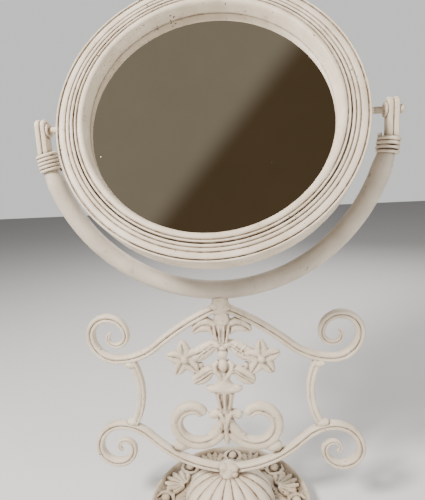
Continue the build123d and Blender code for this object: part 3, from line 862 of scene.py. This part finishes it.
def tilting_frame():
    hoop = ring("hoop_band", [
        (124.5, -4.5), (126.2, -4.5), (126.8, -4.0), (127.0, -3.2), (126.9, 2.0), (127.0, 8.0), (127.0, 14.5),
        (124.5, 14.5), (124.5, 5.0)])
    roughen(hoop, 0.3 * MM, 10.0 * MM)
    outer = ring("outer_bands", [
        (127.0, 14.5), (126.9, 16.6), (126.9, 18.2), (126.5, 19.2), (125.9, 19.5), (125.3, 19.3), (124.95, 18.4),
        (124.85, 17.9), (124.45, 17.9), (124.3, 18.3), (123.8, 18.9), (123.0, 19.1), (121.4, 19.2), (120.0, 19.1),
        (119.3, 18.8), (119.0, 18.2), (118.75, 17.9), (118.45, 18.3), (118.1, 18.9), (117.3, 19.4), (116.4, 19.4),
        (115.7, 18.9), (115.5, 18.2), (115.3, 18.0), (115.1, 18.3), (114.8, 18.9), (114.2, 19.4), (113.2, 19.4),
        (112.6, 18.9), (112.4, 17.8), (112.4, 10.0), (112.4, 2.0), (114.4, 2.0), (114.4, 13.0), (116.0, 14.5)])
    bezel = ring("bezel_bands", [
        (111.6, 14.5), (111.6, 17.8), (111.4, 18.8), (110.9, 19.4), (110.1, 19.4), (109.6, 18.9), (109.35, 18.2),
        (109.1, 18.0), (108.85, 18.3), (108.5, 19.0), (107.6, 19.5), (106.2, 19.5), (105.1, 19.2), (104.3, 18.5),
        (103.6, 17.3), (103.0, 15.2), (102.5, 12.0), (102.1, 9.0), (102.0, 7.0), (104.2, 7.0), (104.2, 13.0),
        (105.5, 14.5)])
    sector(outer, -118, -58, 124.35, 124.9, -2.6)
    sector(bezel, -37, -30, 108.7, 109.5, 1.1)
    for obj, name in ((hoop, "frame_hoop"), (outer, "outer_moulding"), (bezel, "bezel_ring")):
        roughen(obj, 0.32 * MM, 5.0 * MM)
        smooth(obj, 40)
        lean(obj)
        finish_piece(obj, HEAD, "cream_paint", frame_paint, name)


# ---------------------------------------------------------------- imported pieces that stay

def paint_packed(material, *nodes):
    for node in nodes:
        mesh = frame["nodes"][node].data
        mesh.materials.clear()
        mesh.materials.append(material)


def packed_pieces():
    fittings = [node for node in frame["nodes"] if "lug" in node or "pivot" in node]
    paint_packed(bar_paint, *fittings)
    paint_packed(silvering, "mirror_glass")
    paint_packed(board_brown, "backing_board")
    paint_packed(tube_paint, "back_cover", "carrier_ring")
    paint_packed(steel, "cover_screws", "tie_rod", "tie_nut", "tie_washer")
    paint_packed(felt_dark, "felt_ring")


scroll_bars()
side_struts()
c_scrolls()
flower_casting()
blocks()
ribbed_dome()
flat_dish()
base_relief()
bead_ring()
yoke()
wire_binding(1, turns=4, pitch=3.5, wobble=1.6, start=100)
wire_binding(-1, turns=5, pitch=3.1, wobble=0.7, start=-60)
tilting_frame()
packed_pieces()


# ---------------------------------------------------------------- studio

def area_light(name, place, aim, size, power, colour=(1, 1, 1)):
    lamp = bpy.data.lights.new(name, "AREA")
    lamp.shape, lamp.size, lamp.energy, lamp.color = "DISK", size, power, colour
    obj = bpy.data.objects.new(name, lamp)
    obj.location = place
    obj.rotation_euler = (Vector(aim) - Vector(place)).to_track_quat("-Z", "Y").to_euler()
    bpy.context.scene.collection.objects.link(obj)


def camera():
    """Just right of centre, below the pivots, looking slightly down."""
    place = PIVOT + Vector((0.0304, -0.3722, -0.0370))
    turn = (Matrix.Rotation(radians(5.35), 4, "Z") @ Matrix.Rotation(radians(90.0 - 11.22), 4, "X")
            @ Matrix.Rotation(radians(-3.06), 4, "Z"))
    data = bpy.data.cameras.new("camera")
    data.lens, data.sensor_width = 30.67, 36.0
    data.clip_start = 0.01
    obj = bpy.data.objects.new("camera", data)
    obj.matrix_world = Matrix.Translation(place) @ turn
    bpy.context.scene.collection.objects.link(obj)
    bpy.context.scene.camera = obj


def floor():
    deselect()
    bpy.ops.mesh.primitive_grid_add(x_subdivisions=24, y_subdivisions=24, size=6.0)
    obj = bpy.context.object
    obj.name = obj.data.name = "studio_floor"
    material = bpy.data.materials.new("studio_floor")
    material.use_nodes = True
    shader = material.node_tree.nodes["Principled BSDF"]
    shader.inputs["Base Color"].default_value = (0.74, 0.73, 0.71, 1)
    shader.inputs["Roughness"].default_value = 0.8
    obj.data.materials.append(material)


def studio():
    """Soft light all round, and a painted reflection for the glass to show: a dim two-toned room that only glossy
    rays see.
    """
    world = bpy.data.worlds.new("studio")
    world.use_nodes = True
    nodes, links = world.node_tree.nodes, world.node_tree.links
    even = nodes["Background"]
    even.inputs["Color"].default_value = (0.86, 0.87, 0.90, 1)
    even.inputs["Strength"].default_value = 0.24
    # painted reflection: glossy rays see this dim two-toned room, while diffuse light comes from the even
    # background and the camera sees the pale one
    room = nodes.new("ShaderNodeBackground")
    room.inputs["Strength"].default_value = 1.0
    side = nodes.new("ShaderNodeVectorMath")
    side.operation = "DOT_PRODUCT"
    side.inputs[1].default_value = (-0.76, 0.57, 0.35)
    links.new(nodes.new("ShaderNodeTexCoord").outputs["Generated"], side.inputs[0])
    ramp = nodes.new("ShaderNodeValToRGB")
    ramp.color_ramp.interpolation = "EASE"
    ramp.color_ramp.elements[0].position, ramp.color_ramp.elements[0].color = 0.46, (0.085, 0.058, 0.030, 1)
    ramp.color_ramp.elements[1].position, ramp.color_ramp.elements[1].color = 0.53, (0.235, 0.200, 0.145, 1)
    shift = nodes.new("ShaderNodeMath")
    shift.operation = "ADD"
    shift.inputs[1].default_value = 0.5
    links.new(side.outputs["Value"], shift.inputs[0])
    links.new(shift.outputs[0], ramp.inputs["Fac"])
    links.new(ramp.outputs["Color"], room.inputs["Color"])
    mix = nodes.new("ShaderNodeMixShader")
    links.new(nodes.new("ShaderNodeLightPath").outputs["Is Glossy Ray"], mix.inputs["Fac"])
    links.new(even.outputs[0], mix.inputs[1])
    links.new(room.outputs[0], mix.inputs[2])
    pale = nodes.new("ShaderNodeBackground")
    pale.inputs["Color"].default_value = (0.80, 0.80, 0.79, 1)
    seen = nodes.new("ShaderNodeMixShader")
    links.new(nodes.new("ShaderNodeLightPath").outputs["Is Camera Ray"], seen.inputs["Fac"])
    links.new(mix.outputs[0], seen.inputs[1])
    links.new(pale.outputs[0], seen.inputs[2])
    links.new(seen.outputs[0], nodes["World Output"].inputs["Surface"])
    bpy.context.scene.world = world
    area_light("key", (-0.62, -0.62, 1.0), (0, 0, 0.25), 0.28, 30.0, (1.0, 0.965, 0.92))
    area_light("fill", (0.85, -0.6, 0.5), (0, 0, 0.25), 0.4, 6.0, (1.0, 0.98, 0.95))
    area_light("rim", (0.3, 0.9, 0.9), (0, 0, 0.3), 0.5, 8.0)


camera()
floor()
studio()
